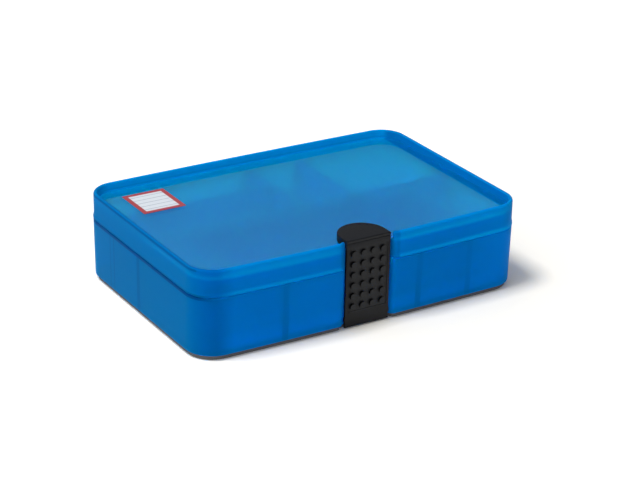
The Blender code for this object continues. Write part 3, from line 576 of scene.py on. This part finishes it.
def label_finish():
    """White field with pale ruled lines inside a dull red frame."""
    material, tree, shader = new_material("label_paper")
    where, split = surface(tree)
    field = {}
    for axis, length in zip("XY", LABEL_SIZE):
        end = length / MM / 2 - LABEL_FRAME
        field[axis] = (-end, end, LABEL_PRINT_SOFT)
    step = calculate(tree, "PINGPONG", split.outputs["Y"], LABEL_LINE_PITCH / 2 * MM)
    line = use_group(tree, SOFT_BAND, Value=step, Low=-MM, High=LABEL_LINE_HALF * MM,
                     Soft=LABEL_PRINT_SOFT * MM)["Mask"]
    paper = cloudy(tree, where, PAPER_SHADES, PAPER_CLOUD_SCALE)
    red = cloudy(tree, where, FRAME_SHADES, FRAME_CLOUD_SCALE)
    ruled = blend(tree, line, paper, LINE_GREY)
    printed = blend(tree, region(tree, split, field), red, ruled)
    feed(tree, shader.inputs["Base Color"], printed)
    shader.inputs["Roughness"].default_value = LABEL_ROUGHNESS
    grained(tree, shader, where, LABEL_GRAIN, LABEL_GRAIN_SCALE)
    return material


def place_label():
    """Thin plate with rounded corners, printed side up, on the lid's panel."""
    bm = bmesh.new()
    plate = Matrix.Diagonal((*LABEL_SIZE, LABEL_THICKNESS, 1.0))
    bmesh.ops.create_cube(bm, size=1.0, matrix=plate)
    upright = []
    for edge in bm.edges:
        first, second = edge.verts
        if abs(first.co.z - second.co.z) > LABEL_THICKNESS / 2:
            upright.append(edge)
    bmesh.ops.bevel(bm, geom=upright, offset=LABEL_CORNER, segments=4, profile=0.5, affect="EDGES")
    mesh = bpy.data.meshes.new("write_on_label")
    bm.to_mesh(mesh)
    bm.free()
    label = bpy.data.objects.new("write_on_label", mesh)
    label.location = (LABEL_LOW[0] + LABEL_SIZE[0] / 2, LABEL_LOW[1] + LABEL_SIZE[1] / 2,
                      PANEL_TOP + LABEL_THICKNESS / 2 + LABEL_GAP)
    bpy.context.scene.collection.objects.link(label)
    mesh.materials.append(label_finish())
    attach(label, "lid")


# Camera, at the photograph's place

CAMERA_YAW = math.radians(32.016)
CAMERA_PITCH = math.radians(23.692)
CAMERA_ROLL = math.radians(1.310)
CAMERA_TARGET = Vector((0, CASE_SHIFT, 34 * MM))
CAMERA_DISTANCE = 1769.09 * MM
CAMERA_RIGHT = 15.470 * MM
CAMERA_UP = 3.121 * MM
CAMERA_LENS = 113.09
CAMERA_SENSOR = 36.0
CAMERA_RANGE = 100.0


def place_camera():
    """Camera turned about its target, then moved sideways and up in its own picture plane."""
    back = Vector((-math.sin(CAMERA_YAW) * math.cos(CAMERA_PITCH),
                   -math.cos(CAMERA_YAW) * math.cos(CAMERA_PITCH), math.sin(CAMERA_PITCH)))
    level = Vector((0, 0, 1)).cross(back).normalized()
    plumb = back.cross(level)
    right = level * math.cos(CAMERA_ROLL) + plumb * math.sin(CAMERA_ROLL)
    up = plumb * math.cos(CAMERA_ROLL) - level * math.sin(CAMERA_ROLL)
    spot = CAMERA_TARGET + back * CAMERA_DISTANCE + right * CAMERA_RIGHT + up * CAMERA_UP
    data = bpy.data.cameras.new("camera")
    data.lens = CAMERA_LENS
    data.sensor_width = CAMERA_SENSOR
    data.clip_end = CAMERA_RANGE
    camera = bpy.data.objects.new("camera", data)
    camera.matrix_world = Matrix((
        (right.x, up.x, back.x, spot.x), (right.y, up.y, back.y, spot.y),
        (right.z, up.z, back.z, spot.z), (0, 0, 0, 1)))
    bpy.context.scene.collection.objects.link(camera)
    bpy.context.scene.camera = camera


# Floor, whose colour and glow change with the distance from a spot by the case, in metres; near the
# case the glow fades and the colour warms, a painted shadow

FLOOR_HALF = 6.0
FLOOR_SPOT = (80 * MM, -40 * MM, 0.0)
NEAR_FLOOR_SHADOW_TINT = (0.925, 0.90, 0.84)
WIDE_FLOOR = (0.945, 0.92, 0.875)
FLOOR_GLOW = (1.0, 0.99, 0.97)
PAINTED_SHADOW_REACH = (0.11, 0.32)
GLOW_BEYOND_PAINTED_SHADOW = 0.13
GLOW_REACH = (0.5, 1.6)
GLOW_LEVEL = 0.9


def place_floor():
    """Large white floor; only the camera sees its glow, which fades near the case as a painted
    shadow.
    """
    bm = bmesh.new()
    bmesh.ops.create_grid(bm, x_segments=1, y_segments=1, size=FLOOR_HALF)
    mesh = bpy.data.meshes.new("floor")
    bm.to_mesh(mesh)
    bm.free()
    floor = bpy.data.objects.new("floor", mesh)
    bpy.context.scene.collection.objects.link(floor)
    material, tree, shader = new_material("floor_white")
    shader.inputs["Roughness"].default_value = 1.0
    shader.inputs["Specular IOR Level"].default_value = 0.0
    distance = add(tree, "ShaderNodeVectorMath", operation="DISTANCE")
    distance.inputs[0].default_value = FLOOR_SPOT
    feed(tree, distance.inputs[1], add(tree, "ShaderNodeTexCoord").outputs["Object"])
    # Painted shadow: towards the case the glow fades and the colour turns warmer
    away = map_range(tree, distance.outputs["Value"], PAINTED_SHADOW_REACH)
    feed(tree, shader.inputs["Base Color"], blend(tree, away, NEAR_FLOOR_SHADOW_TINT, WIDE_FLOOR))
    far = map_range(tree, distance.outputs["Value"], GLOW_REACH, (0.0, GLOW_LEVEL))
    glow = calculate(tree, "ADD", calculate(tree, "MULTIPLY", away, GLOW_BEYOND_PAINTED_SHADOW), far)
    seen = add(tree, "ShaderNodeLightPath").outputs["Is Camera Ray"]
    feed(tree, shader.inputs["Emission Color"], FLOOR_GLOW)
    feed(tree, shader.inputs["Emission Strength"], calculate(tree, "MULTIPLY", seen, glow))
    mesh.materials.append(material)


# Surroundings: each range of directions goes with a range of light

FILL_SIDE = (-1.0, 1.0)
FILL_LIGHT = (1.12, 0.02)
MIRROR_DEPTH = (-0.6, 0.7)
MIRROR_RISE = (0.355, 0.41)
MIRROR_LIGHT = (0.14, 0.39)


def place_world():
    """White to the camera and through the plastic, with a fill that is stronger from the left.

    What the plastic mirrors is a pale area above that is darker towards the front.
    """
    world = bpy.data.worlds.new("studio")
    world.use_nodes = True
    tree = world.node_tree
    background = tree.nodes["Background"]
    path = add(tree, "ShaderNodeLightPath").outputs
    way = split_axes(tree, add(tree, "ShaderNodeTexCoord").outputs["Generated"]).outputs
    depth = map_range(tree, way["Y"], MIRROR_DEPTH)
    rise = map_range(tree, way["Z"], MIRROR_RISE, MIRROR_LIGHT)
    mirror = calculate(tree, "MULTIPLY", depth, rise)
    fill = map_range(tree, way["X"], FILL_SIDE, FILL_LIGHT)
    unseen = blend(tree, path["Is Glossy Ray"], fill, mirror, "FLOAT")
    seen = calculate(tree, "MAXIMUM", path["Is Camera Ray"], path["Is Transmission Ray"])
    feed(tree, background.inputs["Color"], (1.0, 1.0, 1.0))
    feed(tree, background.inputs["Strength"], blend(tree, seen, unseen, 1.0, "FLOAT"))
    bpy.context.scene.world = world


# Lamp, in metres and watts

LAMP_SPOT = Vector((-1.1, 0.04, 3.0))
LAMP_SIZE = 0.9
LAMP_POWER = 76


def place_lamp():
    """Square soft light, above and to the left, aimed at the case and not mirrored in it."""
    data = bpy.data.lights.new("overhead_softbox", "AREA")
    data.shape = "SQUARE"
    data.size = LAMP_SIZE
    data.energy = LAMP_POWER
    lamp = bpy.data.objects.new("overhead_softbox", data)
    lamp.visible_glossy = False
    lamp.location = LAMP_SPOT
    lamp.rotation_euler = (-LAMP_SPOT).to_track_quat("-Z", "Y").to_euler()
    bpy.context.scene.collection.objects.link(lamp)


dress_all()
place_label()
place_camera()
place_floor()
place_world()
place_lamp()

bpy.context.scene.view_settings.view_transform = "Standard"
